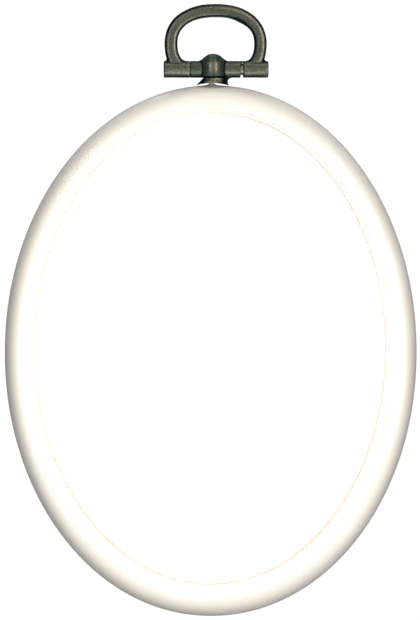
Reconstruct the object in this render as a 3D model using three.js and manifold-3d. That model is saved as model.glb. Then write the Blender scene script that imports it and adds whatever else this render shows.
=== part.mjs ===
// Oval flexible embroidery hoop with a metal hanger.
// Millimetres, +Z up, front towards -Y. The origin is the hanging point:
// the top of the inside of the hanger's loop, where a nail or hook bears.
import * as THREE from 'three';
import { mergeVertices } from 'three/addons/utils/BufferGeometryUtils.js';
import Module from 'manifold-3d';

const wasm = await Module();
wasm.setup();

// ---------------------------------------------------------------- dimensions
// Oval of the ring's outer silhouette: a slightly squared ellipse.
const RING_A = 54.65;          // outer half width
const RING_B = 70.8;           // outer half height
const RING_N = 2.035;          // exponent of the oval, 2 is a true ellipse
const RING_CX = 0;             // centre of the oval
const RING_CZ = -88.85;
const RING_Y = -0.15;           // shift of the ring so that it hangs balanced
const BAND = 7.35;             // mean width of the ring seen from the front
const BAND_VAR = 0.3;          // the sides are this much wider, top and bottom narrower
// The soft ring isn't a true oval: how far its outer edge lies outside the oval above,
// and its inner edge inside, as harmonics of the angle.
const OUT_DRIFT = [0.03, 0.198, 0.05, 0.037, 0.055, -0.109, -0.09, 0.085, -0.029];
const IN_DRIFT = [0.362, 0.027, -0.37, -0.15, 0.091, 0.038, -0.029, -0.136, -0.003];
const RING_SEGS = 96;

// Ring section. r runs outwards from the inner edge, y runs backwards.
const FRONT_Y = -6.2;          // front crest of the vinyl
const VINYL_BACK_Y = 4.9;      // back face of the vinyl ring
const CREST_R = 2.0;            // r of the front crest
const LIP_ROUND = 2.55;         // height of the rounding inside the lip
const WIDE_Y = 1.0;            // y where the rounded front meets the outer wall
const FRONT_P = 2.2;           // exponent of the rounded front
const BACK_ROUND = 0.8;        // edge rounding at the outer back edge
const SEAT_R = 2.3;            // seat wall that grips the inner ring
const LIP_BACK_Y = -3.4;       // back of the lip
const LIP_R = 0.3;             // inner edge of the lip
const IN_T = 2.0;              // inner ring band thickness
const IN_FRONT_Y = -3.1;       // inner ring front edge
const IN_BACK_Y = 6.2;         // inner ring back face
const FLANGE_R = 3.9;          // outer edge of the inner ring's back flange
const FLANGE_T = 1.0;          // thickness of the flange
const IN_WALL_R = 0.36;        // inner wall of the inner ring, just behind the lip's edge
const BEAD_Y = 5.2;            // a bead along the back edge stands in as far as BEAD_R
const BEAD_R = 0.06;

// Hanger
const AXIS_Z = -13.65;         // hinge axis height
const BARREL_R = 2.2;          // knuckle radius
const KN_L0 = -12.4, KN_L1 = -5.62;     // left knuckle of the loop
const MID_L = -5.42, MID_R = 7.95;      // middle knuckle of the stem
const KN_R0 = 8.5, KN_R1 = 15.15;       // right knuckle of the loop
const PIN_R = 1.55;
const PIN_BORE_R = 1.62;
const PIN_L0 = -12.25, PIN_L1 = -2.75;  // left hinge pin
const PIN_R0 = 4.0, PIN_R1 = 15.0;      // right hinge pin

// Loop: outline between two squared ellipses
const LOOP_X = 1.22, LOOP_Z = -7.14;
const LOOP_A = 13.5, LOOP_BT = 10.61, LOOP_BB = 11.2, LOOP_N = 2.2;
const EYE_X = 1.33, EYE_A = 10.2, EYE_BT = 7.14, EYE_BB = 7.0, EYE_N = 2.3;
const LOOP_T = 3.2;            // thickness front to back
const LOOP_BEVEL = 0.9;

// Stem
const BOSS_X = 0.62;           // boss centre
const BOSS_R = 3.08;            // half width of the boss
const BOSS_DEEP = 1.25;         // it is this much deeper front to back than it is wide
const DOME_TOP_Z = -9.52;
const FOOT_X = 0.42;           // foot centre
const FOOT_R = 4.3;            // rim radius of the flared foot
const ARCH_Z = -17.2;          // top of the arch under the foot
const ARCH_R = 14.5;           // radius of the arch, along Y

// Screw, washer, hole in the ring
const SCREW_X = 0.2;
const SCREW_R = 0.75;
const SCREW_TOP_Z = -11.6;
const HEAD_R = 1.9, HEAD_T = 1.1;
const WASHER_R = 3.0, WASHER_HOLE_R = 0.95, WASHER_T = 0.5;
const RECESS_R = 3.2, RECESS_TOP_Z = -20.9;
const NUB_TOP_Z = -17.35, NUB_TOP_R = 1.08, NUB_BASE_R = 2.3;
const GAP = 0.15;

// ---------------------------------------------------------------- helpers
function toManifold(geometry) {
  const g = geometry.clone();
  for (const k of Object.keys(g.attributes)) if (k !== 'position') g.deleteAttribute(k);
  const m = mergeVertices(g, 1e-5);
  const vertProperties = new Float32Array(m.attributes.position.array);
  let triVerts = new Uint32Array(m.index.array);
  const keep = [];
  for (let i = 0; i < triVerts.length; i += 3) {
    const [a, b, c] = [triVerts[i], triVerts[i + 1], triVerts[i + 2]];
    if (a !== b && b !== c && a !== c) keep.push(a, b, c);
  }
  triVerts = new Uint32Array(keep);
  return new wasm.Manifold(new wasm.Mesh({ numProp: 3, vertProperties, triVerts }));
}

function toGeometry(solid) {
  const mesh = solid.getMesh();
  const g = new THREE.BufferGeometry();
  const n = mesh.numProp;
  const count = mesh.vertProperties.length / n;
  const pos = new Float32Array(count * 3);
  for (let i = 0; i < count; i++) {
    for (let k = 0; k < 3; k++) pos[3 * i + k] = mesh.vertProperties[n * i + k];
  }
  g.setAttribute('position', new THREE.BufferAttribute(pos, 3));
  g.setIndex(new THREE.BufferAttribute(new Uint32Array(mesh.triVerts), 1));
  g.computeVertexNormals();
  return g;
}

function finish(colour, roughness, metalness) {
  return new THREE.MeshStandardMaterial({ color: colour, roughness, metalness });
}

// Squared ellipse, t = 0 on +X, a quarter turn on +Z.
function superPoint(t, a, bTop, bBottom, n) {
  const c = Math.cos(t), s = Math.sin(t);
  const b = s >= 0 ? bTop : bBottom;
  return [a * Math.sign(c) * Math.abs(c) ** (2 / n), b * Math.sign(s) * Math.abs(s) ** (2 / n)];
}

// Sum of the first few harmonics of t: [constant, cos t, sin t, cos 2t, sin 2t, ...].
function harmonics(t, c) {
  let v = c[0];
  for (let k = 1; 2 * k < c.length; k++) v += c[2 * k - 1] * Math.cos(k * t) + c[2 * k] * Math.sin(k * t);
  return v;
}

// Point of the ring: angle t round the oval, r out from the inner edge, y back.
function ringPoint(t, r, y) {
  const e = 1e-3;
  const [x, z] = superPoint(t, RING_A, RING_B, RING_B, RING_N);
  const [x1, z1] = superPoint(t + e, RING_A, RING_B, RING_B, RING_N);
  const [x0, z0] = superPoint(t - e, RING_A, RING_B, RING_B, RING_N);
  const tx = x1 - x0, tz = z1 - z0, l = Math.hypot(tx, tz);
  const nx = tz / l, nz = -tx / l;
  const out = harmonics(t, OUT_DRIFT);
  const w = BAND + BAND_VAR * Math.cos(2 * Math.atan2(z, x)) + out + harmonics(t, IN_DRIFT);
  const d = (BAND - r) * (w / BAND) - out;
  return [RING_CX + x - nx * d, y + RING_Y, RING_CZ + z - nz * d];
}

// Ring from a closed section: a turned ring whose points are laid along the oval.
function ovalRing(section, segments) {
  const R0 = 40;
  const profile = section.map(([r, y]) => new THREE.Vector2(R0 + r, y));
  profile.push(profile[0].clone());
  const g = new THREE.LatheGeometry(profile, segments);
  const p = g.attributes.position;
  for (let i = 0; i < p.count; i++) {
    const x = p.getX(i), y = p.getY(i), z = p.getZ(i);
    const rho = Math.hypot(x, z);
    let k = Math.round((Math.atan2(z, x) / (2 * Math.PI)) * segments * 4) / 4;
    const t = (k / segments) * 2 * Math.PI;
    const q = ringPoint(t, rho - R0, y);
    p.setXYZ(i, q[0], q[1], q[2]);
  }
  return g;
}

function outward(solid) {
  if (solid.volume() <= 0) throw new Error('inside out');
  return solid;
}

// Turned piece about +Z at (x, y). Profile in [radius, z], rising.
function turnedZ(profile, x, y, segments) {
  const g = new THREE.LatheGeometry(profile.map(([r, z]) => new THREE.Vector2(r, z)), segments);
  g.rotateX(Math.PI / 2);
  g.translate(x, y, 0);
  return g;
}

// Turned piece about X at height z. Profile in [radius, x], rising in x.
function turnedX(profile, z, segments) {
  const g = new THREE.LatheGeometry(profile.map(([r, x]) => new THREE.Vector2(r, x)), segments);
  g.rotateZ(-Math.PI / 2);
  g.translate(0, 0, z);
  return g;
}

function box(x0, x1, y0, y1, z0, z1) {
  const g = new THREE.BoxGeometry(x1 - x0, y1 - y0, z1 - z0);
  g.translate((x0 + x1) / 2, (y0 + y1) / 2, (z0 + z1) / 2);
  return g;
}

const root = new THREE.Group();

function add(name, solid, material) {
  const mesh = new THREE.Mesh(toGeometry(solid), material);
  mesh.name = name;
  root.add(mesh);
}

// ---------------------------------------------------------------- outer ring
// One-piece flexible vinyl ring: rounded front, lip over the inner ring's edge,
// seat wall round the inner ring, and a nub that the hanger's screw draws up.
function vinylSection() {
  const s = [];
  s.push([LIP_R, LIP_BACK_Y]);
  const n = 4;
  for (let i = 0; i <= n; i++) {
    const t = (i / n) * Math.PI / 2;
    s.push([LIP_R + (CREST_R - LIP_R) * (1 - Math.cos(t)), FRONT_Y + LIP_ROUND * (1 - Math.sin(t))]);
  }
  const m = 8, H = WIDE_Y - FRONT_Y, W = BAND - CREST_R;
  for (let i = 1; i <= m; i++) {
    const t = (i / m) * Math.PI / 2;
    s.push([CREST_R + W * Math.sin(t) ** (2 / FRONT_P), WIDE_Y - H * Math.abs(Math.cos(t)) ** (2 / FRONT_P)]);
  }
  s.push([BAND, VINYL_BACK_Y - BACK_ROUND]);
  s.push([BAND - 0.29 * BACK_ROUND, VINYL_BACK_Y - 0.29 * BACK_ROUND]);
  s.push([BAND - BACK_ROUND, VINYL_BACK_Y]);
  s.push([SEAT_R + 0.3, VINYL_BACK_Y]);
  s.push([SEAT_R, VINYL_BACK_Y - 0.3]);
  s.push([SEAT_R, LIP_BACK_Y]);
  return s;
}

let vinyl = outward(toManifold(ovalRing(vinylSection(), RING_SEGS)));
const RING_TOP_Z = RING_CZ + RING_B;
const nubProfile = [[0, RING_TOP_Z - 1.2], [NUB_BASE_R, RING_TOP_Z - 1.2], [NUB_BASE_R, RING_TOP_Z - 0.06],
  [1.6, RING_TOP_Z + 0.12], [1.25, RING_TOP_Z + 0.34], [NUB_TOP_R, NUB_TOP_Z], [0, NUB_TOP_Z]];
vinyl = vinyl.add(toManifold(turnedZ(nubProfile, SCREW_X, 0, 32)));
vinyl = vinyl.subtract(toManifold(turnedZ([[0, -26], [SCREW_R + 0.07, -26], [SCREW_R + 0.07, -16], [0, -16]], SCREW_X, 0, 24)));
vinyl = vinyl.subtract(toManifold(turnedZ([[0, -26], [RECESS_R, -26], [RECESS_R, RECESS_TOP_Z], [0, RECESS_TOP_Z]], SCREW_X, 0, 32)));
add('outer_ring', vinyl, finish(0xf4efe4, 0.3, 0));

// ---------------------------------------------------------------- inner ring
// Rigid plastic band with a flange along its back edge, which stops the vinyl ring.
const bandSection = [
  [BEAD_R + 0.1, IN_BACK_Y - 0.12], [BEAD_R, IN_BACK_Y - 0.35], [BEAD_R, BEAD_Y + 0.15], [BEAD_R + 0.06, BEAD_Y + 0.04], [IN_WALL_R, BEAD_Y], [IN_WALL_R, IN_FRONT_Y + 0.3], [IN_WALL_R + 0.3, IN_FRONT_Y], [IN_T - 0.4, IN_FRONT_Y],
  [IN_T, IN_FRONT_Y + 0.6], [IN_T, IN_BACK_Y - FLANGE_T], [FLANGE_R, IN_BACK_Y - FLANGE_T],
  [FLANGE_R, IN_BACK_Y - 0.3], [FLANGE_R - 0.3, IN_BACK_Y], [0.45, IN_BACK_Y],
];
add('inner_ring', outward(toManifold(ovalRing(bandSection, RING_SEGS))), finish(0xf6f0e2, 0.35, 0));

// ---------------------------------------------------------------- hanger loop
// Cast loop with a flat front and bevelled shoulders, and a knuckle on each leg.
function loopShape() {
  const shape = new THREE.Shape();
  const N = 56;
  for (let i = 0; i < N; i++) {
    const [x, z] = superPoint((i / N) * 2 * Math.PI, LOOP_A - LOOP_BEVEL, LOOP_BT - LOOP_BEVEL, LOOP_BB - LOOP_BEVEL, LOOP_N);
    if (i === 0) shape.moveTo(LOOP_X + x, LOOP_Z + z); else shape.lineTo(LOOP_X + x, LOOP_Z + z);
  }
  shape.closePath();
  const hole = new THREE.Path();
  const M = 48;
  for (let i = 0; i < M; i++) {
    const [x, z] = superPoint(-(i / M) * 2 * Math.PI, EYE_A + LOOP_BEVEL, EYE_BT + LOOP_BEVEL, EYE_BB + LOOP_BEVEL, EYE_N);
    if (i === 0) hole.moveTo(EYE_X + x, LOOP_Z + z); else hole.lineTo(EYE_X + x, LOOP_Z + z);
  }
  hole.closePath();
  shape.holes.push(hole);
  return shape;
}
const loopGeo = new THREE.ExtrudeGeometry(loopShape(), {
  depth: LOOP_T - 2 * LOOP_BEVEL, bevelEnabled: true, bevelThickness: LOOP_BEVEL, bevelSize: LOOP_BEVEL, bevelSegments: 2,
});
loopGeo.rotateX(Math.PI / 2);
loopGeo.translate(0, LOOP_T / 2 - LOOP_BEVEL, 0);
let loop = outward(toManifold(loopGeo));
loop = loop.subtract(toManifold(box(-30, 30, -5, 5, -40, AXIS_Z)));
loop = loop.subtract(toManifold(box(KN_L1, KN_R0, -5, 5, -40, -9.4)));
const C = 0.3;
const knuckle = (x0, x1) => toManifold(turnedX(
  [[0, x0], [BARREL_R - C, x0], [BARREL_R, x0 + C], [BARREL_R, x1 - C], [BARREL_R - C, x1], [0, x1]], AXIS_Z, 28));
loop = loop.add(knuckle(KN_L0, KN_L1)).add(knuckle(KN_R0, KN_R1));
loop = loop.subtract(toManifold(turnedX([[0, -20], [PIN_BORE_R, -20], [PIN_BORE_R, 20], [0, 20]], AXIS_Z, 28)));
add('hanger_bail', loop, finish(0x6f6a52, 0.45, 1));

// ---------------------------------------------------------------- hinge pins
const pin = (x0, x1) => toManifold(turnedX(
  [[0, x0], [PIN_R - 0.2, x0], [PIN_R, x0 + 0.2], [PIN_R, x1 - 0.2], [PIN_R - 0.2, x1], [0, x1]], AXIS_Z, 28));
add('hinge_pin_left', pin(PIN_L0, PIN_L1), finish(0x8d8672, 0.4, 1));
add('hinge_pin_right', pin(PIN_R0, PIN_R1), finish(0x8d8672, 0.4, 1));

// ---------------------------------------------------------------- stem
// One casting: middle knuckle, domed boss across it, flared foot arched over the ring.
let stem = toManifold(turnedX(
  [[0, MID_L], [BARREL_R - C, MID_L], [BARREL_R, MID_L + C], [BARREL_R, MID_R - C], [BARREL_R - C, MID_R], [0, MID_R]], AXIS_Z, 28));
const bossProfile = [[0, AXIS_Z - 2.4], [BOSS_R, AXIS_Z - 2.4], [BOSS_R, AXIS_Z + 2.0], [2.72, -10.95], [2.37, -10.55],
  [2.0, -10.2], [1.54, -9.86], [0.86, -9.6], [0, DOME_TOP_Z]];
const bossGeo = turnedZ(bossProfile, 0, 0, 32);
bossGeo.scale(1, BOSS_DEEP, 1);
bossGeo.translate(BOSS_X, 0, 0);
stem = stem.add(toManifold(bossGeo));
const footProfile = [[0, -18.1], [FOOT_R, -18.1], [FOOT_R, -17.75], [3.98, -17.25], [3.66, -16.75], [3.45, -16.2], [3.4, -15.6],
  [3.0, -15.2], [0, -15.2]];
stem = stem.add(toManifold(turnedZ(footProfile, FOOT_X, 0, 36)));
const archGeo = new THREE.CylinderGeometry(ARCH_R, ARCH_R, 20, 72);
archGeo.translate(FOOT_X, 0, ARCH_Z - ARCH_R);
stem = stem.subtract(toManifold(archGeo));
const bore = (x0, x1) => toManifold(turnedX([[0, x0], [PIN_BORE_R, x0], [PIN_BORE_R, x1], [0, x1]], AXIS_Z, 28));
stem = stem.subtract(bore(MID_L - 1, PIN_L1 + 0.3)).subtract(bore(PIN_R0 - 0.3, MID_R + 1));
stem = stem.subtract(toManifold(turnedZ([[0, -20], [SCREW_R + 0.07, -20], [SCREW_R + 0.07, SCREW_TOP_Z + 0.3], [0, SCREW_TOP_Z + 0.3]], SCREW_X, 0, 24)));
add('hanger_stem', stem, finish(0x6a664f, 0.45, 1));

// ---------------------------------------------------------------- screw and washer
const washerTop = RECESS_TOP_Z - GAP;
const headTop = washerTop - WASHER_T - GAP;
const screw = toManifold(turnedZ([[0, headTop - HEAD_T], [HEAD_R - 0.3, headTop - HEAD_T], [HEAD_R, headTop - HEAD_T + 0.35],
  [HEAD_R, headTop], [SCREW_R, headTop], [SCREW_R, SCREW_TOP_Z - 0.3], [SCREW_R - 0.3, SCREW_TOP_Z], [0, SCREW_TOP_Z]], SCREW_X, 0, 24))
  .subtract(toManifold(box(SCREW_X - 0.22, SCREW_X + 0.22, -3, 3, headTop - HEAD_T - 1, headTop - HEAD_T + 0.5)));
add('fixing_screw', screw, finish(0xb4b6b4, 0.3, 1));
const washer = toManifold(turnedZ([[0, washerTop - WASHER_T], [WASHER_R, washerTop - WASHER_T], [WASHER_R, washerTop], [0, washerTop]], SCREW_X, 0, 32))
  .subtract(toManifold(turnedZ([[0, -26], [WASHER_HOLE_R, -26], [WASHER_HOLE_R, -18], [0, -18]], SCREW_X, 0, 24)));
add('screw_washer', washer, finish(0xa9aaa6, 0.35, 1));

export default root;
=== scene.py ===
import math

import bmesh
import bpy
import numpy as np
from mathutils import Matrix, Vector


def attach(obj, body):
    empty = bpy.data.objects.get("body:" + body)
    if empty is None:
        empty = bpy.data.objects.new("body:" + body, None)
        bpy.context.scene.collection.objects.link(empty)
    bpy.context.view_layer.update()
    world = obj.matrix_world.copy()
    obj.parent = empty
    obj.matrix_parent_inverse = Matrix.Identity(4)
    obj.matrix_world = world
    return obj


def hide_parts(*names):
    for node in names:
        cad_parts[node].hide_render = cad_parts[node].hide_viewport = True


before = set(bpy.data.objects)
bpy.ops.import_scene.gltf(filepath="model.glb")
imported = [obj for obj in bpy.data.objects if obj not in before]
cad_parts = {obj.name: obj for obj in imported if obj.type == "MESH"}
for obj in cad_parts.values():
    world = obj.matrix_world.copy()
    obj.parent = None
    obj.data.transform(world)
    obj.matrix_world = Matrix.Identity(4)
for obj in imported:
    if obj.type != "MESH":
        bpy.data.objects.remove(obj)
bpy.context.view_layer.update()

MM = 0.001

# ---------------------------------------------------------------- sizes, mm
# The same numbers as the frame: origin at the hanging point, +Z up, front at -Y.
RING_A, RING_B, RING_N = 54.65, 70.8, 2.035
RING_CX, RING_CZ, RING_Y = 0.0, -88.85, -0.15
BAND, BAND_VAR = 7.35, 0.3
OUT_DRIFT = (0.03, 0.198, 0.05, 0.037, 0.055, -0.109, -0.09, 0.085, -0.029)
IN_DRIFT = (0.362, 0.027, -0.37, -0.15, 0.091, 0.038, -0.029, -0.136, -0.003)
FRONT_Y, VINYL_BACK_Y, CREST_R, LIP_ROUND = -6.2, 4.9, 2.0, 2.55
WIDE_Y, FRONT_P, BACK_ROUND = 1.0, 2.2, 0.8
SEAT_R, LIP_BACK_Y = 2.3, -3.17
LIP_R, BEAD_Y, BEAD_R = 0.3, 5.2, -0.02
IN_T, IN_FRONT_Y, IN_BACK_Y = 2.0, -3.1, 6.2
FLANGE_R, FLANGE_T, IN_WALL_R = 3.9, 1.0, 0.36

AXIS_Z, BARREL_R = -13.65, 2.2
KN_L0, KN_L1 = -12.4, -5.62
MID_L, MID_R = -5.42, 7.95
KN_R0, KN_R1 = 8.5, 15.15
PIN_R, PIN_BORE_R = 1.55, 1.62
PIN_L0, PIN_L1 = -12.25, -2.75
PIN_R0, PIN_R1 = 4.0, 15.0

LOOP_X, LOOP_Z = 1.22, -7.14
LOOP_A, LOOP_BT, LOOP_BB, LOOP_N = 13.47, 10.58, 11.2, 2.2
EYE_X, EYE_A, EYE_BT, EYE_BB, EYE_N = 1.33, 10.2, 7.14, 7.0, 2.3
LOOP_T = 3.2

BOSS_X, BOSS_R, BOSS_DEEP, DOME_TOP_Z = 0.62, 3.08, 1.25, -9.52
FOOT_X, ARCH_Z, ARCH_R = 0.42, -17.2, 14.5
SCREW_X, SCREW_R, SCREW_TOP_Z = 0.2, 0.75, -11.6
HEAD_R, HEAD_T = 1.9, 1.1
WASHER_R, WASHER_HOLE_R, WASHER_T = 3.0, 0.95, 0.5
RECESS_R, RECESS_TOP_Z = 3.2, -20.9
RING_TOP_Z = RING_CZ + RING_B
NUB_TOP_Z = -17.35
GAP = 0.15

# ---------------------------------------------------------------- mesh helpers


def make_object(name, verts_mm, faces, smooth_angle=None, attributes=None):
    """A mesh object from arrays, in metres. faces is an array of quads or a list of faces."""
    mesh = bpy.data.meshes.new(name)
    v = np.asarray(verts_mm, np.float64) * MM
    if isinstance(faces, np.ndarray):
        n = faces.shape[1]
        mesh.vertices.add(len(v))
        mesh.vertices.foreach_set("co", v.astype(np.float32).ravel())
        mesh.loops.add(faces.size)
        mesh.loops.foreach_set("vertex_index", faces.astype(np.int32).ravel())
        mesh.polygons.add(len(faces))
        mesh.polygons.foreach_set("loop_start", np.arange(0, faces.size, n, dtype=np.int32))
        mesh.update(calc_edges=True)
    else:
        mesh.from_pydata([tuple(p) for p in v], [], faces)
    mesh.validate()
    for key, values in (attributes or {}).items():
        at = mesh.attributes.new(key, "FLOAT", "POINT")
        at.data.foreach_set("value", np.asarray(values, np.float32))
    mesh.shade_smooth()
    if smooth_angle is not None:
        mesh.set_sharp_from_angle(angle=math.radians(smooth_angle))
    obj = bpy.data.objects.new(name, mesh)
    bpy.context.scene.collection.objects.link(obj)
    return obj


def outward(obj):
    """Faces of a closed mesh turned outwards."""
    bm = bmesh.new()
    bm.from_mesh(obj.data)
    bmesh.ops.recalc_face_normals(bm, faces=bm.faces)
    bm.to_mesh(obj.data)
    bm.free()
    return obj


def cut(obj, cutter):
    """Takes cutter out of obj and removes it."""
    m = obj.modifiers.new("cut", "BOOLEAN")
    m.operation = "DIFFERENCE"
    m.solver = "EXACT"
    m.object = cutter
    bpy.context.view_layer.update()
    dg = bpy.context.evaluated_depsgraph_get()
    made = bpy.data.meshes.new_from_object(obj.evaluated_get(dg))
    obj.modifiers.clear()
    old = obj.data
    obj.data = made
    bpy.data.meshes.remove(old)
    bpy.data.objects.remove(cutter)
    return obj


def revolve(profile, centre, axis, segments=64):
    """Vertices and faces of a turned body. profile is [(radius, height)], from one pole to the other."""
    prof = np.array(profile, float)
    body = prof[1:-1]
    k, n = len(body), segments
    a = np.arange(n) / n * 2 * math.pi
    u = body[:, None, 0] * np.cos(a)[None]
    v = body[:, None, 0] * np.sin(a)[None]
    h = np.repeat(body[:, None, 1], n, 1)
    ring = np.stack([u, v, h], -1).reshape(-1, 3)
    pts = np.concatenate([[[0, 0, prof[0, 1]]], ring, [[0, 0, prof[-1, 1]]]])
    if axis == "x":
        pts = pts[:, [2, 0, 1]]
    elif axis == "y":
        pts = pts[:, [1, 2, 0]]
    pts = pts + np.array(centre, float)
    faces = []
    for i in range(n):
        j = (i + 1) % n
        faces.append((0, 1 + j, 1 + i))
        for r in range(k - 1):
            p, q = 1 + r * n, 1 + (r + 1) * n
            faces.append((p + i, p + j, q + j, q + i))
        last = 1 + (k - 1) * n
        faces.append((last + i, last + j, len(pts) - 1))
    return pts, faces


def arc(c, r, a0, a1, n):
    """Points on an arc in the profile plane, degrees."""
    t = np.radians(np.linspace(a0, a1, n))
    return [(c[0] + r * math.cos(x), c[1] + r * math.sin(x)) for x in t]


# ---------------------------------------------------------------- smooth noise


class Noise:
    """Smooth value noise on a periodic lattice, seeded."""

    def __init__(self, seed, n=32):
        self.n = n
        self.g = np.random.default_rng(seed).uniform(-1, 1, (n, n, n))

    def __call__(self, x, y, z, scale):
        out = None
        p = [np.asarray(c, float) * scale for c in (x, y, z)]
        i = [np.floor(c).astype(int) for c in p]
        f = [c - k for c, k in zip(p, i)]
        w = [t * t * t * (t * (6 * t - 15) + 10) for t in f]
        n = self.n
        for dx in (0, 1):
            for dy in (0, 1):
                for dz in (0, 1):
                    g = self.g[(i[0] + dx) % n, (i[1] + dy) % n, (i[2] + dz) % n]
                    t = (
                        (w[0] if dx else 1 - w[0])
                        * (w[1] if dy else 1 - w[1])
                        * (w[2] if dz else 1 - w[2])
                    )
                    out = g * t if out is None else out + g * t
        return out


# ---------------------------------------------------------------- ring sweep


def harmonics(t, c):
    """Sum of the first few harmonics of t: constant, cos t, sin t, cos 2t, sin 2t, ..."""
    v = c[0] + 0 * t
    for k in range(1, (len(c) + 1) // 2):
        v = v + c[2 * k - 1] * np.cos(k * t) + c[2 * k] * np.sin(k * t)
    return v


def ring_points(t, r, y):
    """Arrays of angles t round the oval, r out from the inner edge, y back, to points in mm."""
    c, s = np.cos(t), np.sin(t)
    x = RING_A * np.sign(c) * np.abs(c) ** (2 / RING_N)
    z = RING_B * np.sign(s) * np.abs(s) ** (2 / RING_N)
    nx = np.sign(x) * np.abs(x / RING_A) ** (RING_N - 1) / RING_A
    nz = np.sign(z) * np.abs(z / RING_B) ** (RING_N - 1) / RING_B
    l = np.hypot(nx, nz)
    nx, nz = nx / l, nz / l
    out = harmonics(t, OUT_DRIFT)
    w = BAND + BAND_VAR * np.cos(2 * np.arctan2(z, x)) + out + harmonics(t, IN_DRIFT)
    d = (BAND - r) * (w / BAND) - out
    return np.stack([RING_CX + x - nx * d, y + RING_Y + 0 * d, RING_CZ + z - nz * d], -1)


def angles(count, fine=0, fine_half=0.0):
    """Angles round the oval, with more of them near the top."""
    t = np.linspace(0, 2 * math.pi, 4001)
    density = np.full_like(t, float(count) / (2 * math.pi))
    if fine:
        density += fine * np.exp(-(((t - math.pi / 2) / fine_half) ** 4)) / (2 * fine_half * 0.9064)
    run = np.concatenate([[0], np.cumsum((density[1:] + density[:-1]) / 2 * np.diff(t))])
    n = int(round(run[-1]))
    return np.interp(np.arange(n) / n * run[-1], run, t)


def sweep(section, t):
    """Points (len(t), len(section), 3) and quads of a closed ring."""
    s = np.array(section, float)
    p = ring_points(t[:, None], s[None, :, 0], s[None, :, 1])
    n, m = len(t), len(s)
    i, j = np.meshgrid(np.arange(n), np.arange(m), indexing="ij")
    a, b = (i + 1) % n, (j + 1) % m
    quads = np.stack([i * m + j, i * m + b, a * m + b, a * m + j], -1).reshape(-1, 4)
    return p, quads


# ---------------------------------------------------------------- vinyl ring
def vinyl_section():
    """Closed section of the vinyl ring: lip, rounded front, outer wall, back and the seat of the inner ring."""
    s = []
    for i in range(29):  # lip
        a = i / 28 * math.pi / 2
        s.append((LIP_R + (CREST_R - LIP_R) * (1 - math.cos(a)), FRONT_Y + LIP_ROUND * (1 - math.sin(a))))
    H, W = WIDE_Y - FRONT_Y, BAND - CREST_R
    for i in range(1, 65):  # rounded front
        a = i / 64 * math.pi / 2
        s.append((
            CREST_R + W * math.sin(a) ** (2 / FRONT_P),
            WIDE_Y - H * abs(math.cos(a)) ** (2 / FRONT_P),
        ))
    s += [(BAND, y) for y in np.linspace(WIDE_Y + 0.15, VINYL_BACK_Y - BACK_ROUND, 20)]
    s += arc((BAND - BACK_ROUND, VINYL_BACK_Y - BACK_ROUND), BACK_ROUND, 0, 90, 10)[1:]
    s += [(r, VINYL_BACK_Y) for r in np.linspace(BAND - BACK_ROUND - 0.5, SEAT_R + 0.9, 7)]
    s += arc((SEAT_R + 0.35, VINYL_BACK_Y - 0.35), 0.35, 90, 180, 7)
    s += [(SEAT_R, y) for y in np.linspace(4.0, -2.7, 12)]
    s += arc((SEAT_R - 0.3, LIP_BACK_Y + 0.3), 0.3, 0, -90, 6)
    s += [(1.5, LIP_BACK_Y), (1.1, LIP_BACK_Y), (0.7, LIP_BACK_Y)]
    s += arc((LIP_R + 0.03, LIP_BACK_Y - 0.03), 0.03, 90, 180, 3)
    out = [s[0]]
    for p in s[1:]:
        if math.hypot(p[0] - out[-1][0], p[1] - out[-1][1]) > 0.012:
            out.append(p)
    return out


def nub_height(rho):
    """Height of the drawn-up nub over the ring, by distance from the screw's line."""
    r = np.array([0.0, 0.55, 0.62, 0.75, 0.9, 1.1, 1.3, 1.6, 2.1, 2.6, 3.4])
    h = np.array([0.64, 0.64, 0.57, 0.43, 0.32, 0.22, 0.15, 0.085, 0.03, 0.01, 0.0])
    fine = np.linspace(0, 3.4, 341)
    base = np.interp(fine, r, h)
    k = np.exp(-(((np.arange(-12, 13)) / 3.0) ** 2))
    smooth = np.convolve(np.pad(base, 12, mode="edge"), k / k.sum(), mode="valid")
    return np.interp(rho, fine, smooth, right=0.0)


sec = vinyl_section()
t_ring = angles(460, 120, 0.075)
P, quads = sweep(sec, t_ring)
# The soft wall is drawn up round the screw.
outer = np.array([p[0] > 4.4 for p in sec])
top = P[..., 2] > RING_TOP_Z - 3.5
rho = np.hypot(P[..., 0] - SCREW_X, P[..., 1])
P[..., 2] += np.where(outer[None] & top, nub_height(rho), 0.0)
# Slight unevenness of a moulded soft ring, kept off the seat and the nub.
soft = Noise(11)
lift = np.array([
    min(1, max(0, (r - 0.6) / 1.4)) * min(1, max(0, (7.3 - r) / 0.6)) if y < -3.5 or (r > 4 and y < 1.2) else 0.0
    for r, y in sec
])
wave = soft(P[..., 0], P[..., 1], P[..., 2], 0.075) * 0.05
away = np.clip((rho - 3.5) / 6, 0, 1)
P[..., 1] += np.clip(wave, -0.05, 0.05) * lift[None] * away
vinyl = make_object("vinyl_ring", P.reshape(-1, 3), quads)
outward(vinyl)
hole = SCREW_R + 0.07
pts, faces = revolve(
    [(0, -26), (RECESS_R, -26), (RECESS_R, RECESS_TOP_Z - 0.12)]
    + arc((RECESS_R - 0.12, RECESS_TOP_Z - 0.12), 0.12, 0, 90, 4)[1:]
    + [(hole + 0.1, RECESS_TOP_Z), (hole, RECESS_TOP_Z + 0.1), (hole, -18.45), (0.53, -18.2), (0.53, -16.5), (0, -16.5)],
    (SCREW_X, 0, 0), "z", 72)
cutter = outward(make_object("cutter", pts, faces))
cut(vinyl, cutter)
vinyl.data.shade_smooth()
vinyl.data.set_sharp_from_angle(angle=math.radians(38))

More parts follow.
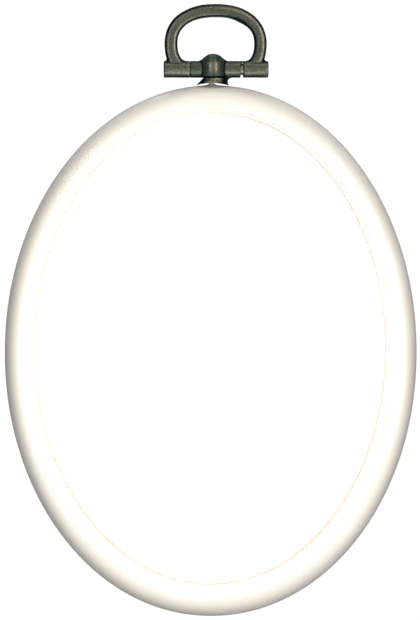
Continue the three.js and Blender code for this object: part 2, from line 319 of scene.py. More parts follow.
# ---------------------------------------------------------------- inner ring
r0, y0, y1 = IN_WALL_R - 0.03, IN_FRONT_Y, IN_BACK_Y
band = []
band += arc((r0 + 0.04, y0 + 0.04), 0.04, 180, 270, 4)
band += [(0.8, y0), (1.2, y0)]
band += arc((IN_T - 0.4, y0 + 0.4), 0.4, 270, 360, 7)
band += [(IN_T, y) for y in (-2.2, -1.0, 0.5, 2.0, 3.2, 4.4)]
band += [(IN_T, y1 - FLANGE_T - 0.25), (IN_T + 0.07, y1 - FLANGE_T - 0.07), (IN_T + 0.25, y1 - FLANGE_T)]
band += [(2.8, y1 - FLANGE_T), (3.3, y1 - FLANGE_T)]
band += arc((FLANGE_R - 0.22, y1 - FLANGE_T + 0.22), 0.22, 270, 360, 5)
band += arc((FLANGE_R - 0.3, y1 - 0.3), 0.3, 0, 90, 7)
band += [(3.0, y1), (2.3, y1), (1.6, y1), (0.9, y1)]
# the bead along the back edge stands in a little past the lip and shows all round
band += arc((BEAD_R + 0.3, y1 - 0.3), 0.3, 90, 180, 8)
band += arc((BEAD_R + 0.12, BEAD_Y + 0.12), 0.12, 180, 260, 6)
band += arc((r0 - 0.08, BEAD_Y - 0.08), 0.08, 80, 0, 4)
band += [(r0, 4.6), (r0, 3.8)]
# parting line of the mould, a fine raised witness on the inner wall
band += [(r0, 3.15), (r0 - 0.02, 3.05), (r0 - 0.02, 2.98), (r0, 2.88)]
band += [(r0, y) for y in (2.0, 0.8, -0.4, -1.6)]
t_in = angles(600)
Q, quads_in = sweep(band, t_in)
inner = outward(make_object("inner_band", Q.reshape(-1, 3), quads_in, 40))

# ---------------------------------------------------------------- solid shapes by distance


def smin(a, b, k):
    h = np.clip(0.5 + 0.5 * (b - a) / k, 0, 1)
    return b * (1 - h) + a * h - k * h * (1 - h)


def smax(a, b, k):
    return -smin(-a, -b, k)


def step01(x, a, b):
    t = np.clip((x - a) / (b - a), 0, 1)
    return t * t * (3 - 2 * t)


def rounded(a, b, r):
    """Where both a and b are inside, with the shared edge rounded to r."""
    u, v = a + r, b + r
    return np.hypot(np.maximum(u, 0), np.maximum(v, 0)) + np.minimum(np.maximum(u, v), 0) - r


def oval_dist(x, z, a, bt, bb, n):
    """Distance, near the outline, to a squared ellipse."""
    b = np.where(z >= 0, bt, bb)
    u, v = np.abs(x) / a + 1e-9, np.abs(z) / b + 1e-9
    g = u ** n + v ** n
    f = g ** (1 / n)
    k = f / g
    gx, gz = k * u ** (n - 1) / a, k * v ** (n - 1) / b
    return (f - 1) / np.hypot(gx, gz)


def barrel(x, y, z, x0, x1, e0, e1, uneven=0.0):
    """Hinge knuckle from x0 to x1, its two ends flat and rounded at the edge by e0 and e1."""
    mid = (x0 + x1) / 2
    edge = np.where(x < mid, e0, e1)
    return rounded(np.hypot(y, z - AXIS_Z) - BARREL_R + uneven, np.abs(x - mid) - (x1 - x0) / 2, edge)


def bore(x, y, z, x0, x1, r=PIN_BORE_R):
    return np.maximum(np.hypot(y, z - AXIS_Z) - r, np.abs(x - (x0 + x1) / 2) - (x1 - x0) / 2)


class Turned:
    """Distance to a turned body about a vertical line, by a table of its profile."""

    def __init__(self, profile, rmax, z0, z1, step=0.02):
        self.step, self.z0 = step, z0
        pts = self.curve(np.array(profile, float))
        r = np.arange(0, rmax + step, step)
        z = np.arange(z0, z1 + step, step)
        R, Z = np.meshgrid(r, z, indexing="ij")
        best = np.full(R.shape, 1e9)
        for a, b in zip(pts[:-1], pts[1:]):
            d = b - a
            t = np.clip(((R - a[0]) * d[0] + (Z - a[1]) * d[1]) / (d @ d), 0, 1)
            best = np.minimum(best, np.hypot(R - a[0] - t * d[0], Z - a[1] - t * d[1]))
        top = np.interp(Z, pts[::-1, 1] if pts[0, 1] > pts[-1, 1] else pts[:, 1],
                        pts[::-1, 0] if pts[0, 1] > pts[-1, 1] else pts[:, 0], left=0, right=0)
        self.table = np.where(R < top, -best, best)

    @staticmethod
    def curve(p, n=6):
        """A smooth line through the points, rising in z."""
        q = np.concatenate([[2 * p[0] - p[1]], p, [2 * p[-1] - p[-2]]])
        out = []
        for i in range(1, len(q) - 2):
            for k in range(n):
                t = k / n
                out.append(0.5 * ((2 * q[i]) + (-q[i - 1] + q[i + 1]) * t
                                  + (2 * q[i - 1] - 5 * q[i] + 4 * q[i + 1] - q[i + 2]) * t * t
                                  + (-q[i - 1] + 3 * q[i] - 3 * q[i + 1] + q[i + 2]) * t ** 3))
        out.append(q[-2])
        return np.array(out)

    def __call__(self, rho, z):
        n, m = self.table.shape
        u = np.clip(rho / self.step, 0, n - 1.001)
        v = np.clip((z - self.z0) / self.step, 0, m - 1.001)
        i, j = u.astype(int), v.astype(int)
        f, g = u - i, v - j
        T = self.table
        return (T[i, j] * (1 - f) * (1 - g) + T[i + 1, j] * f * (1 - g)
                + T[i, j + 1] * (1 - f) * g + T[i + 1, j + 1] * f * g)


def surface(fn, lo, hi, h):
    """Closed quad mesh of fn = 0 on a grid, with its points moved onto the surface."""
    ax = [np.arange(a, b + h, h) for a, b in zip(lo, hi)]
    X, Y, Z = np.meshgrid(*ax, indexing="ij")
    f = fn(X, Y, Z)
    s = f < 0
    shape = f.shape
    cells = tuple(n - 1 for n in shape)
    strides = (cells[1] * cells[2], cells[2], 1)
    total = cells[0] * cells[1] * cells[2]
    weight = np.zeros(total)
    acc = np.zeros((3, total))
    jobs = []
    for a in range(3):
        b, c = (a + 1) % 3, (a + 2) % 3
        cutlo = [slice(None)] * 3
        cuthi = [slice(None)] * 3
        cutlo[a], cuthi[a] = slice(0, -1), slice(1, None)
        f0, f1 = f[tuple(cutlo)], f[tuple(cuthi)]
        s0, s1 = s[tuple(cutlo)], s[tuple(cuthi)]
        idx = np.array(np.nonzero(s0 != s1))
        keep = (idx[b] > 0) & (idx[b] < shape[b] - 1) & (idx[c] > 0) & (idx[c] < shape[c] - 1)
        idx = idx[:, keep]
        v0, v1 = f0[tuple(idx)], f1[tuple(idx)]
        inside = s0[tuple(idx)]
        t = v0 / (v0 - v1)
        pos = idx.astype(float)
        pos[a] += t
        around = []
        for db, dc in ((-1, -1), (0, -1), (0, 0), (-1, 0)):
            k = idx.copy()
            k[b] += db
            k[c] += dc
            cid = k[0] * strides[0] + k[1] * strides[1] + k[2] * strides[2]
            around.append(cid)
            weight += np.bincount(cid, minlength=total)
            for d in range(3):
                acc[d] += np.bincount(cid, weights=pos[d], minlength=total)
        q = np.stack(around, -1)
        q = np.where(inside[:, None], q, q[:, ::-1])
        jobs.append(q)
    quads = np.concatenate(jobs)
    used, inverse = np.unique(quads, return_inverse=True)
    quads = inverse.reshape(quads.shape)
    v = (acc[:, used] / weight[used]).T * h + np.array([x[0] for x in ax])
    e = 0.02
    for _ in range(4):
        value, grad = fn(*v.T), gradient(fn, v, e)
        g2 = np.maximum((grad ** 2).sum(1), 0.05)
        move = -(value / g2)[:, None] * grad
        size = np.linalg.norm(move, axis=1, keepdims=True)
        v = v + move * np.minimum(1, 0.5 * h / np.maximum(size, 1e-9))
    return v, quads


def gradient(fn, v, e):
    g = []
    for k in range(3):
        d = np.zeros(3)
        d[k] = e
        g.append((fn(*(v + d).T) - fn(*(v - d).T)) / (2 * e))
    return np.stack(g, -1)


def finish_marks(fn, v, seed, zones):
    """Per point: how far the patina is rubbed through, with painted shade where surfaces turn away from the front; how
    worn the metal is, with painted highlights; and how much it sits in a hollow.
    """
    g = gradient(fn, v, 0.03)
    n = g / np.maximum(np.linalg.norm(g, axis=1, keepdims=True), 1e-9)
    e = 0.3
    curv = -6 * fn(*v.T)
    for k in range(3):
        d = np.zeros(3)
        d[k] = e
        curv += fn(*(v + d).T) + fn(*(v - d).T)
    curv /= e * e
    noise = Noise(seed)
    rough = noise(*v.T, 1.1) * 0.5 + noise(*(v + 7.3).T, 2.7) * 0.3 + noise(*(v - 3.1).T, 6.0) * 0.25
    hollow = np.clip(-(curv + 0.1) / 0.9 + 0.15 * rough, 0, 1)
    wear_and_painted_light, bare_and_painted_highlight, shallow = zones(v, n, rough)
    return {"wear_and_painted_light": np.clip(wear_and_painted_light, 0, 1), "edge": np.clip(bare_and_painted_highlight, 0, 1), "hollow": hollow * shallow}


def bump1(x, at, half):
    return np.exp(-(((x - at) / half) ** 2))


# ---------------------------------------------------------------- loop casting
cast = Noise(5)
wear = Noise(23)


def loop_fn(x, y, z):
    fo = oval_dist(x - LOOP_X, z - LOOP_Z, LOOP_A, LOOP_BT, LOOP_BB, LOOP_N)
    fi = oval_dist(x - EYE_X, z - LOOP_Z, EYE_A, EYE_BT, EYE_BB, EYE_N)
    # metal left proud inside the eye at the upper right
    fi = fi + 0.26 * np.exp(-(((x - 8.0) / 2.4) ** 2 + ((z + 1.3) / 2.0) ** 2))
    # and the legs a little out of place
    fi = fi + 0.06 * np.exp(-(((x - 0.5) / 4.5) ** 2 + (z / 2.5) ** 2))
    fi = fi + 0.1 * np.exp(-(((x + 8.9) / 2.0) ** 2 + ((z + 7.5) / 4.0) ** 2)) + 0.1 * np.exp(-(((x - 11.4) / 2.0) ** 2 + ((z + 8.0) / 3.5) ** 2))
    fo = fo + 0.1 * np.exp(-(((x + 12.2) / 2.0) ** 2 + ((z + 7.5) / 4.0) ** 2))
    uneven = cast(x, y, z, 0.45) * 0.035 + cast(x + 3, y, z, 1.3) * 0.014
    flat = np.maximum(fo, -fi) + uneven
    side = np.abs(y) - LOOP_T / 2 + 0.0 * x
    edge = 1.08 + 0.07 * cast(x, 0 * y, z, 0.5)
    leg = rounded(flat, side + 0.5 * uneven, edge)
    # casting blemish at the top of the front face
    bx, bz = x + 0.2, z - 2.35
    pits = (
        0.14 * np.exp(-((bx + 0.55) ** 2 + (bz - 0.2) ** 2) / 0.05)
        + 0.11 * np.exp(-((bx - 0.15) ** 2 + (bz + 0.15) ** 2) / 0.10)
        + 0.08 * np.exp(-((bx - 0.75) ** 2 + (bz + 0.05) ** 2) / 0.04)
        + 0.06 * np.exp(-((bx - 1.2) ** 2 + (bz - 0.25) ** 2) / 0.05)
        - 0.07 * np.exp(-((bx + 0.2) ** 2 + (bz - 0.45) ** 2) / 0.04)
    )
    # pits along the inner edge at the upper right
    for px, pz, s in ((6.9, -0.35, 0.05), (8.2, -1.3, 0.06), (9.2, -2.6, 0.05), (10.2, -4.0, 0.12), (4.8, 0.45, 0.04)):
        pits = pits + 0.13 * np.exp(-((x - px) ** 2 + (z - pz) ** 2) / s)
    leg = leg + np.where(y < 0, pits, 0.0)
    # the loop's lower part stops at the hinge
    leg = np.maximum(leg, AXIS_Z - z)
    left = barrel(x, y, z, KN_L0, KN_L1 + 0.12, 0.3, 0.17, 0.6 * uneven)
    right = barrel(x, y, z, KN_R0, KN_R1, 0.1, 0.34, 0.6 * uneven)
    ends = np.minimum(left, right)
    f = smin(leg, ends, 0.9 - 0.68 * step01(np.abs(y), 0.5, 1.5))
    # nothing of the loop between the knuckles below the eye
    gap = np.maximum(np.maximum(KN_L1 + 0.12 - x, x - KN_R0), z + 9.8)
    f = smax(f, -gap, 0.02)
    return np.maximum(f, -bore(x, y, z, -20, 20))


def loop_zones(v, n, rough):
    x, y, z = v.T
    ny = np.abs(n[:, 1])
    low = 1 - step01(z, -12.0, -11.2)
    d_out = -oval_dist(x - LOOP_X, z - LOOP_Z, LOOP_A, LOOP_BT, LOOP_BB, LOOP_N)
    d_in = oval_dist(x - EYE_X, z - LOOP_Z, EYE_A, EYE_BT, EYE_BB, EYE_N)
    right = step01(x, -1.0, 7.0)
    # dark along both edges, thick patina together with painted shade where the rounded edges turn away; on the right,
    # painted shade darker towards the eye
    leg = step01(d_out + 0.1 * rough, 0.46 - 0.14 * right, 0.86 - 0.24 * right)
    top = step01(z, -3.5, -0.5)
    leg = leg * step01(d_in + 0.1 * rough, 0.26 + 0.14 * top, 0.56 + 0.2 * top)
    # painted shade: the middle of the left leg's face a little darker between its bright bands
    leg = leg * (1 - 0.3 * (1 - right) * (1 - top) * bump1(d_out, 1.68, 0.42))
    leg = leg * (1 - 0.62 * right * (1 - step01(d_in + 0.35 * rough, 0.65, 1.15)))
    # the sides are rubbed only in patches
    leg = leg + 0.4 * (1 - step01(ny, 0.2, 0.5)) * step01(rough, 0.0, 0.45)
    # the knuckles are rubbed where they face the front; the dark where they turn up or down is painted shade, and the
    # joint by the right knuckle stays dark
    knuckle = step01(ny + 0.05 * rough, 0.56, 0.88) * step01(x - KN_L0, 0.12, 0.5) * (1 - bump1(x, KN_R0 + 0.08, 0.26))
    wear_and_painted_light = leg * (1 - low) + knuckle * low
    # bright bands along the rounded edges, partly rubbed-through wear and partly painted highlight, brighter towards
    # the right: a broad one outside on the right, softer ones on the left leg
    crown = 1 - 0.6 * bump1(x, -1.0, 5.0) * step01(z, -4.0, 0.0)
    bare_and_painted_highlight = (0.52 + 0.6 * right) * bump1(d_out, 0.97, 0.2 + 0.08 * right) + 0.80 * (1 - right) * bump1(d_in, 0.74, 0.2)
    bare_and_painted_highlight = bare_and_painted_highlight * crown * step01(ny, 0.6, 0.85) * (1 - low) * (0.8 + 0.6 * rough)
    # painted highlight lines at the end of the left knuckle by the joint and at the right knuckle's outer end
    bare_and_painted_highlight = bare_and_painted_highlight + low * step01(ny, 0.35, 0.7) * (0.6 * bump1(x, -5.86, 0.13) + 0.4 * bump1(x, 14.85, 0.14))
    bare_and_painted_highlight = bare_and_painted_highlight + 0.17 * low * knuckle + 0.09 * (1 - low) * leg * (1 - 0.45 * right)
    return wear_and_painted_light, bare_and_painted_highlight, 1.0


v, q = surface(loop_fn, (-12.9, -2.65, -16.3), (15.7, 2.65, 4.0), 0.137)
loop = make_object("hanging_loop", v, q, 45, finish_marks(loop_fn, v, 31, loop_zones))

# ---------------------------------------------------------------- stem casting
boss = Turned([(3.05, -16.3), (3.08, -15.6), (3.08, -13.6), (3.08, -12.0), (3.02, -11.45), (2.74, -10.95), (2.38, -10.53),
               (1.98, -10.17), (1.52, -9.87), (0.9, -9.63), (0.0, -9.52)], 5.0, -18.5, -8.5)
F_Z = np.array([-18.6, -17.85, -17.4, -16.9, -16.4, -16.0, -15.6, -15.2])
F_L = np.array([5.06, 4.33, 3.89, 3.40, 2.91, 2.52, 2.13, 1.74])
F_R = np.array([4.9, 4.42, 4.16, 4.05, 4.10, 4.28, 4.5, 4.6])
F_M = np.array([4.9, 4.30, 3.93, 3.58, 3.35, 3.22, 3.15, 3.1])
stem_cast = Noise(9)


def foot_radius(z, c):
    left, right, mid = (np.interp(z, F_Z, r) for r in (F_L, F_R, F_M))
    return mid + np.where(c > 0, right - mid, left - mid) * c * c


def stem_fn(x, y, z):
    uneven = stem_cast(x, y, z, 0.5) * 0.03 + stem_cast(x, y + 5, z, 1.5) * 0.014
    # the right end is cast short, with a burr left along the top
    f = barrel(x, y, z, MID_L - 0.04, MID_R - 0.14 + 0.645 * step01(z - AXIS_Z, 1.3, 1.8), 0.13, 0.07, 0.5 * uneven)
    # boss with its dome: squarish below so that it meets the barrel in straight lines, round on top
    bx = x - BOSS_X
    p = 2.55 - 0.55 * step01(z, -12.0, -10.4)
    u, w = np.abs(bx) + 1e-6, np.abs(y / BOSS_DEEP) + 1e-6
    b = boss((u ** p + w ** p) ** (1 / p), z) + uneven
    b = smax(b, -15.5 - z, 0.14)
    # the casting's seam down the middle of the boss, front and back
    line = bx + 0.08 - 0.05 * np.sin(z * 2.3) - 0.03 * (z + 13)
    seam = 0.05 * np.exp(-((line / 0.11) ** 2))
    swell = 0.07 * bump1(bx, 0.62, 0.42) + 0.05 * bump1(bx, -0.85, 0.45)
    tall = step01(z, -15.7, -15.1) * (1 - step01(z, -10.7, -9.9))
    b = b + (seam - swell) * tall * step01(np.abs(y), 1.2, 2.2)
    f = smin(f, b, 0.12 + 1.0 * step01(z, AXIS_Z + 1.5, AXIS_Z + 2.3))
    # undercut line below the boss, then the flared foot
    neck = np.maximum(np.hypot(bx, y / 1.2) - 2.5, z + 15.2)
    f = np.minimum(f, neck)
    fx = x - FOOT_X
    rho = np.hypot(fx, y) + 1e-9
    c = fx / rho
    R = foot_radius(z, c)
    slope = (foot_radius(z + 0.05, c) - foot_radius(z - 0.05, c)) / 0.1
    skirt = (rho - R) / np.sqrt(1 + slope * slope)
    skirt = smax(skirt, z + 15.88, 0.1) + 0.5 * uneven
    # the two highlights of the boss run on down the foot, with the seam between them
    skirt = skirt + 0.05 * bump1(bx, -0.02, 0.2) * step01(np.abs(y), 1.2, 2.2)
    f = smin(f, skirt, 0.08 + 0.75 * step01(x, 2.6, 4.2) * (1 - step01(np.abs(y), 0.7, 1.7)))
    # arch over the ring
    arch = ARCH_R - np.hypot(x - FOOT_X, z - (ARCH_Z - ARCH_R))
    f = rounded(f, arch, 0.13)
    f = np.maximum(f, -bore(x, y, z, MID_L - 5, PIN_L1 + 0.3))
    f = np.maximum(f, -bore(x, y, z, PIN_R0 - 0.3, MID_R + 5))
    screw = np.maximum(np.hypot(x - SCREW_X, y) - (SCREW_R + 0.07), z - (SCREW_TOP_Z + 0.3))
    return smax(f, -screw, 0.05)


def stem_zones(v, n, rough):
    x, y, z = v.T
    bx = x - BOSS_X
    ny = np.abs(n[:, 1])
    a = ny + 0.05 * rough
    # the barrel's sides are rubbed where they face the front; the dark at top and bottom, where they turn away, is
    # painted shade, and the left half is painted a little darker than the right
    side = step01(a, 0.54, 0.84) * step01(np.abs(bx), 3.0, 3.35) * step01(z, -16.0, -15.7)
    side = side * np.where(bx < 0, 0.82, 0.97)
    side = side * step01(x - MID_L, 0.05, 0.25)
    # two painted highlights on the boss, either side of the seam, running up onto the dome
    inner = 1 - step01(np.abs(bx) + 0.2 * rough, 1.5, 2.7)
    tall = step01(z + 0.4 * rough, -15.0, -13.9) * (1 - 0.9 * step01(z, -11.4, -10.2))
    narrow = 1 - 0.35 * step01(z, -11.6, -10.4)
    belly = 0.45 + 0.55 * bump1(z, -13.1, 1.25)
    lobes = (0.95 * bump1(bx, -0.9 * narrow, 0.8 * narrow) + 1.0 * bump1(bx, 0.66 * narrow, 0.7 * narrow)) * belly
    lobes = lobes * (1 + 0.5 * rough)
    on_boss = step01(z, -15.5, -15.25) * (np.abs(bx) < 3.05) * step01(a, 0.08, 0.34)
    # painted shade darkens the boss's flanks and the top of its dome; the painted highlights are laid over the face
    face = on_boss * np.clip((0.40 + 0.2 * inner) * (1 - 0.6 * step01(z, -11.6, -10.6)) + lobes * (0.2 + 0.8 * tall) + 0.2 * rough, 0, 1)
    # painted highlights down the foot either side of the seam, stopping above the arch
    foot = step01(-z, 15.85, 15.98) * (1.15 * bump1(bx, -1.0, 0.55) + 1.4 * bump1(bx, 0.85, 0.6) + 0.5 * inner)
    foot = foot * (1 - step01(-z, 16.95, 17.3)) * step01(np.abs(y), 1.0, 1.8)
    wear_and_painted_light = np.maximum(np.maximum(side, face), foot)
    # the brightest painted highlights on the boss and the foot; a little on the barrel's sides, more on the right
    bare_and_painted_highlight = on_boss * (1.0 * bump1(bx, 0.55 * narrow, 0.36) + 0.7 * bump1(bx, -0.8 * narrow, 0.5)) * tall * bump1(z, -13.0, 1.5) * (1 + 0.6 * rough)
    bare_and_painted_highlight = bare_and_painted_highlight + 0.75 * foot + np.where(bx < 0, 0.03, 0.10) * side
    # the seam is shallow, so little patina stays in it
    open_seam = 1 - 0.6 * on_boss * bump1(bx, 0.0, 0.4)
    return wear_and_painted_light, bare_and_painted_highlight, open_seam


v, q = surface(stem_fn, (-5.9, -5.2, -18.7), (8.5, 5.2, -9.1), 0.118)
stem = make_object("stem_casting", v, q, 45, finish_marks(stem_fn, v, 37, stem_zones))

# ---------------------------------------------------------------- pins, screw, washer


def pin_profile(x0, x1, out0, out1):
    """Turned pin with a peened crown on an outer end and a plain chamfer on an inner one."""
    def end(at, sign, crown):
        if crown:
            return [(0, at), (0.45, at + sign * 0.01), (0.9, at + sign * 0.05), (1.2, at + sign * 0.11), (1.4, at + sign * 0.2), (1.5, at + sign * 0.3), (PIN_R, at + sign * 0.45)]
        return [(0, at), (0.3, at), (1.3, at), (1.38, at + sign * 0.02), (1.5, at + sign * 0.14), (PIN_R, at + sign * 0.22)]
    a, b = end(x0, 1, out0), end(x1, -1, out1)
    mid = [(PIN_R + 0.004 * math.sin(7 * x), x) for x in np.linspace(x0 + 0.6, x1 - 0.6, 40)]
    return a + mid + b[::-1]


pins = {}
for side, x0, x1 in (("left", PIN_L0, PIN_L1), ("right", PIN_R0, PIN_R1)):
    pts, faces = revolve(pin_profile(x0, x1, side == "left", side == "right"), (0, 0, AXIS_Z), "x", 96)
    pins[side] = outward(make_object("pin_" + side, pts, faces, 50))

washer_top = RECESS_TOP_Z - GAP
head_top = washer_top - WASHER_T - GAP
bottom = head_top - HEAD_T
# screw: threaded shank as one turned skin, the thread's height turning with the angle
seg = 48
heights, radii = [], []
head = [(0.0, bottom), (0.5, bottom + 0.0), (1.0, bottom + 0.03), (1.4, bottom + 0.1), (1.66, bottom + 0.2), (1.82, bottom + 0.36),
        (HEAD_R, bottom + 0.58), (HEAD_R, head_top - 0.12), (HEAD_R - 0.1, head_top), (1.3, head_top), (0.85, head_top)]
for r, z in head:
    radii.append(np.full(seg, r))
    heights.append(np.full(seg, z))
pitch, minor, major = 0.36, 0.6, SCREW_R
ang = np.arange(seg) / seg
zs = np.arange(head_top + 0.02, SCREW_TOP_Z - 0.03, 0.045)
for z in zs:
    ph = (z / pitch - ang) % 1.0
    tri = np.clip(1.25 - np.abs(ph - 0.5) * 3.1, 0, 1)
    fade = min(1, max(0, (z - head_top - 0.15) / 0.3)) * min(1, max(0, (SCREW_TOP_Z - z) / 0.35))
    relief = math.exp(-(((z + 17.72) / 0.8) ** 6))
    fade *= 1 - relief
    radii.append(minor + (major - minor) * tri * fade + (major - minor) * 0.3 * (1 - fade) - 0.18 * relief)
    heights.append(np.full(seg, z))
for r, z in ((0.52, SCREW_TOP_Z - 0.02), (0.3, SCREW_TOP_Z), (0.0, SCREW_TOP_Z)):
    radii.append(np.full(seg, r))
    heights.append(np.full(seg, z))
R2, Z2 = np.array(radii), np.array(heights)
ring = np.stack([SCREW_X + R2 * np.cos(ang * 2 * math.pi), R2 * np.sin(ang * 2 * math.pi), Z2], -1)
rows = len(R2)
core = ring[1:-1].reshape(-1, 3)
pts = np.concatenate([[[SCREW_X, 0, bottom]], core, [[SCREW_X, 0, SCREW_TOP_Z]]])
faces = []
k = rows - 2
for i in range(seg):
    j = (i + 1) % seg
    faces.append((0, 1 + j, 1 + i))
    for r in range(k - 1):
        p0, p1 = 1 + r * seg, 1 + (r + 1) * seg
        faces.append((p0 + i, p0 + j, p1 + j, p1 + i))
    last = 1 + (k - 1) * seg
    faces.append((last + i, last + j, len(pts) - 1))
screw = outward(make_object("screw", pts, faces))
slot_pts = [(SCREW_X + sx * 0.22, sy * 3.0, sz) for sx in (-1, 1) for sy in (-1, 1) for sz in (bottom - 1, bottom + 0.5)]
slot_cut = outward(make_object("slot_cut", slot_pts, [(0, 1, 3, 2), (4, 6, 7, 5), (0, 4, 5, 1), (2, 3, 7, 6), (0, 2, 6, 4), (1, 5, 7, 3)]))
cut(screw, slot_cut)
screw.data.shade_smooth()
screw.data.set_sharp_from_angle(angle=math.radians(42))

z0, z1 = washer_top - WASHER_T, washer_top
section = [(WASHER_HOLE_R + 0.06, z0)] + [(r, z0) for r in (1.4, 1.9, 2.4)]
section += arc((WASHER_R - 0.14, z0 + 0.14), 0.14, 270, 360, 5)
section += [(WASHER_R, z1 - 0.06), (WASHER_R - 0.05, z1)]
section += [(r, z1) for r in (2.4, 1.9, 1.4)]
section += [(WASHER_HOLE_R + 0.12, z1), (WASHER_HOLE_R + 0.03, z1 - 0.05), (WASHER_HOLE_R, z1 - 0.14), (WASHER_HOLE_R, z0 + 0.05)]
n, m = 96, len(section)
a = np.arange(n) / n * 2 * math.pi
s = np.array(section)
W = np.stack([SCREW_X + s[None, :, 0] * np.cos(a)[:, None], s[None, :, 0] * np.sin(a)[:, None], np.repeat(s[None, :, 1], n, 0)], -1)
ii, jj = np.meshgrid(np.arange(n), np.arange(m), indexing="ij")
aa, bb = (ii + 1) % n, (jj + 1) % m
quads_w = np.stack([ii * m + jj, aa * m + jj, aa * m + bb, ii * m + bb], -1).reshape(-1, 4)
washer = outward(make_object("washer", W.reshape(-1, 3), quads_w, 42))

# ---------------------------------------------------------------- materials


class Nodes:
    """Short ways to build a node tree."""

    def __init__(self, name):
        self.mat = bpy.data.materials.new(name)
        self.mat.use_nodes = True
        self.t = self.mat.node_tree
        self.t.nodes.clear()
        self.out = self.t.nodes.new("ShaderNodeOutputMaterial")
        self.bsdf = self.t.nodes.new("ShaderNodeBsdfPrincipled")
        self.link(self.bsdf.outputs["BSDF"], self.out.inputs["Surface"])
        self.coords = self.t.nodes.new("ShaderNodeTexCoord").outputs["Object"]

    def link(self, a, b):
        self.t.links.new(a, b)

    def put(self, socket, value):
        if hasattr(value, "node"):
            self.link(value, socket)
        else:
            socket.default_value = value

    def noise(self, scale, detail=3.0, rough=0.5, distort=0.0, coords=None, out="Fac"):
        n = self.t.nodes.new("ShaderNodeTexNoise")
        n.inputs["Scale"].default_value = scale
        n.inputs["Detail"].default_value = detail
        n.inputs["Roughness"].default_value = rough
        n.inputs["Distortion"].default_value = distort
        self.link(coords or self.coords, n.inputs["Vector"])
        return n.outputs[out]

    def voronoi(self, scale, feature="F1", coords=None, randomness=1.0):
        n = self.t.nodes.new("ShaderNodeTexVoronoi")
        n.feature = feature
        n.inputs["Scale"].default_value = scale
        n.inputs["Randomness"].default_value = randomness
        self.link(coords or self.coords, n.inputs["Vector"])
        return n.outputs["Distance"]

    def scaled(self, sx, sy, sz, rot=(0, 0, 0)):
        n = self.t.nodes.new("ShaderNodeMapping")
        n.inputs["Scale"].default_value = (sx, sy, sz)
        n.inputs["Rotation"].default_value = rot
        self.link(self.coords, n.inputs["Vector"])
        return n.outputs["Vector"]

    def attr(self, name):
        n = self.t.nodes.new("ShaderNodeAttribute")
        n.attribute_name = name
        return n.outputs["Fac"]

    def math(self, op, a, b=0.0, c=None, clamp=False):
        n = self.t.nodes.new("ShaderNodeMath")
        n.operation = op
        n.use_clamp = clamp
        self.put(n.inputs[0], a)
        self.put(n.inputs[1], b)
        if c is not None:
            self.put(n.inputs[2], c)
        return n.outputs[0]

    def remap(self, x, a, b, c=0.0, d=1.0, smooth=False):
        n = self.t.nodes.new("ShaderNodeMapRange")
        n.interpolation_type = "SMOOTHSTEP" if smooth else "LINEAR"
        n.clamp = True
        self.put(n.inputs["Value"], x)
        for key, val in (("From Min", a), ("From Max", b), ("To Min", c), ("To Max", d)):
            self.put(n.inputs[key], val)
        return n.outputs["Result"]

    def mix(self, fac, a, b, blend="MIX"):
        n = self.t.nodes.new("ShaderNodeMix")
        n.data_type = "RGBA"
        n.blend_type = blend
        self.put(n.inputs["Factor"], fac)
        self.put(n.inputs["A"], a if hasattr(a, "node") else (*a, 1))
        self.put(n.inputs["B"], b if hasattr(b, "node") else (*b, 1))
        return n.outputs["Result"]

    def bump(self, height, distance, strength=1.0, normal=None):
        n = self.t.nodes.new("ShaderNodeBump")
        n.inputs["Strength"].default_value = strength
        n.inputs["Distance"].default_value = distance
        self.link(height, n.inputs["Height"])
        if normal is not None:
            self.link(normal, n.inputs["Normal"])
        return n.outputs["Normal"]

    def set(self, **values):
        for key, value in values.items():
            self.put(self.bsdf.inputs[key.replace("_", " ")], value)
        return self


def vinyl_material():
    m = Nodes("vinyl")
    cloud = m.noise(28, 4, 0.55)
    fine = m.noise(420, 3, 0.6)
    grain = m.noise(2600, 2, 0.6)
    base = m.mix(m.remap(cloud, 0.35, 0.65), (0.918, 0.846, 0.752), (0.938, 0.876, 0.796))
    base = m.mix(m.math("MULTIPLY", m.remap(fine, 0.55, 0.8), 0.25), base, (0.87, 0.785, 0.675))
    smudge = m.remap(m.noise(60, 2, 0.45), 0.3, 0.75, smooth=True)
    rough = m.math("ADD", m.remap(smudge, 0, 1, 0.28, 0.32), m.math("MULTIPLY", grain, 0.015))
    n = m.bump(m.math("ADD", m.math("MULTIPLY", fine, 0.8), m.math("MULTIPLY", grain, 0.08)), 0.00001, 0.5)
    m.set(Base_Color=base, Roughness=rough, Normal=n)
    m.bsdf.inputs["IOR"].default_value = 1.5
    m.bsdf.inputs["Subsurface Weight"].default_value = 0.15
    m.bsdf.inputs["Subsurface Radius"].default_value = (1.0, 0.66, 0.4)
    m.bsdf.inputs["Subsurface Scale"].default_value = 0.0018
    return m.mat


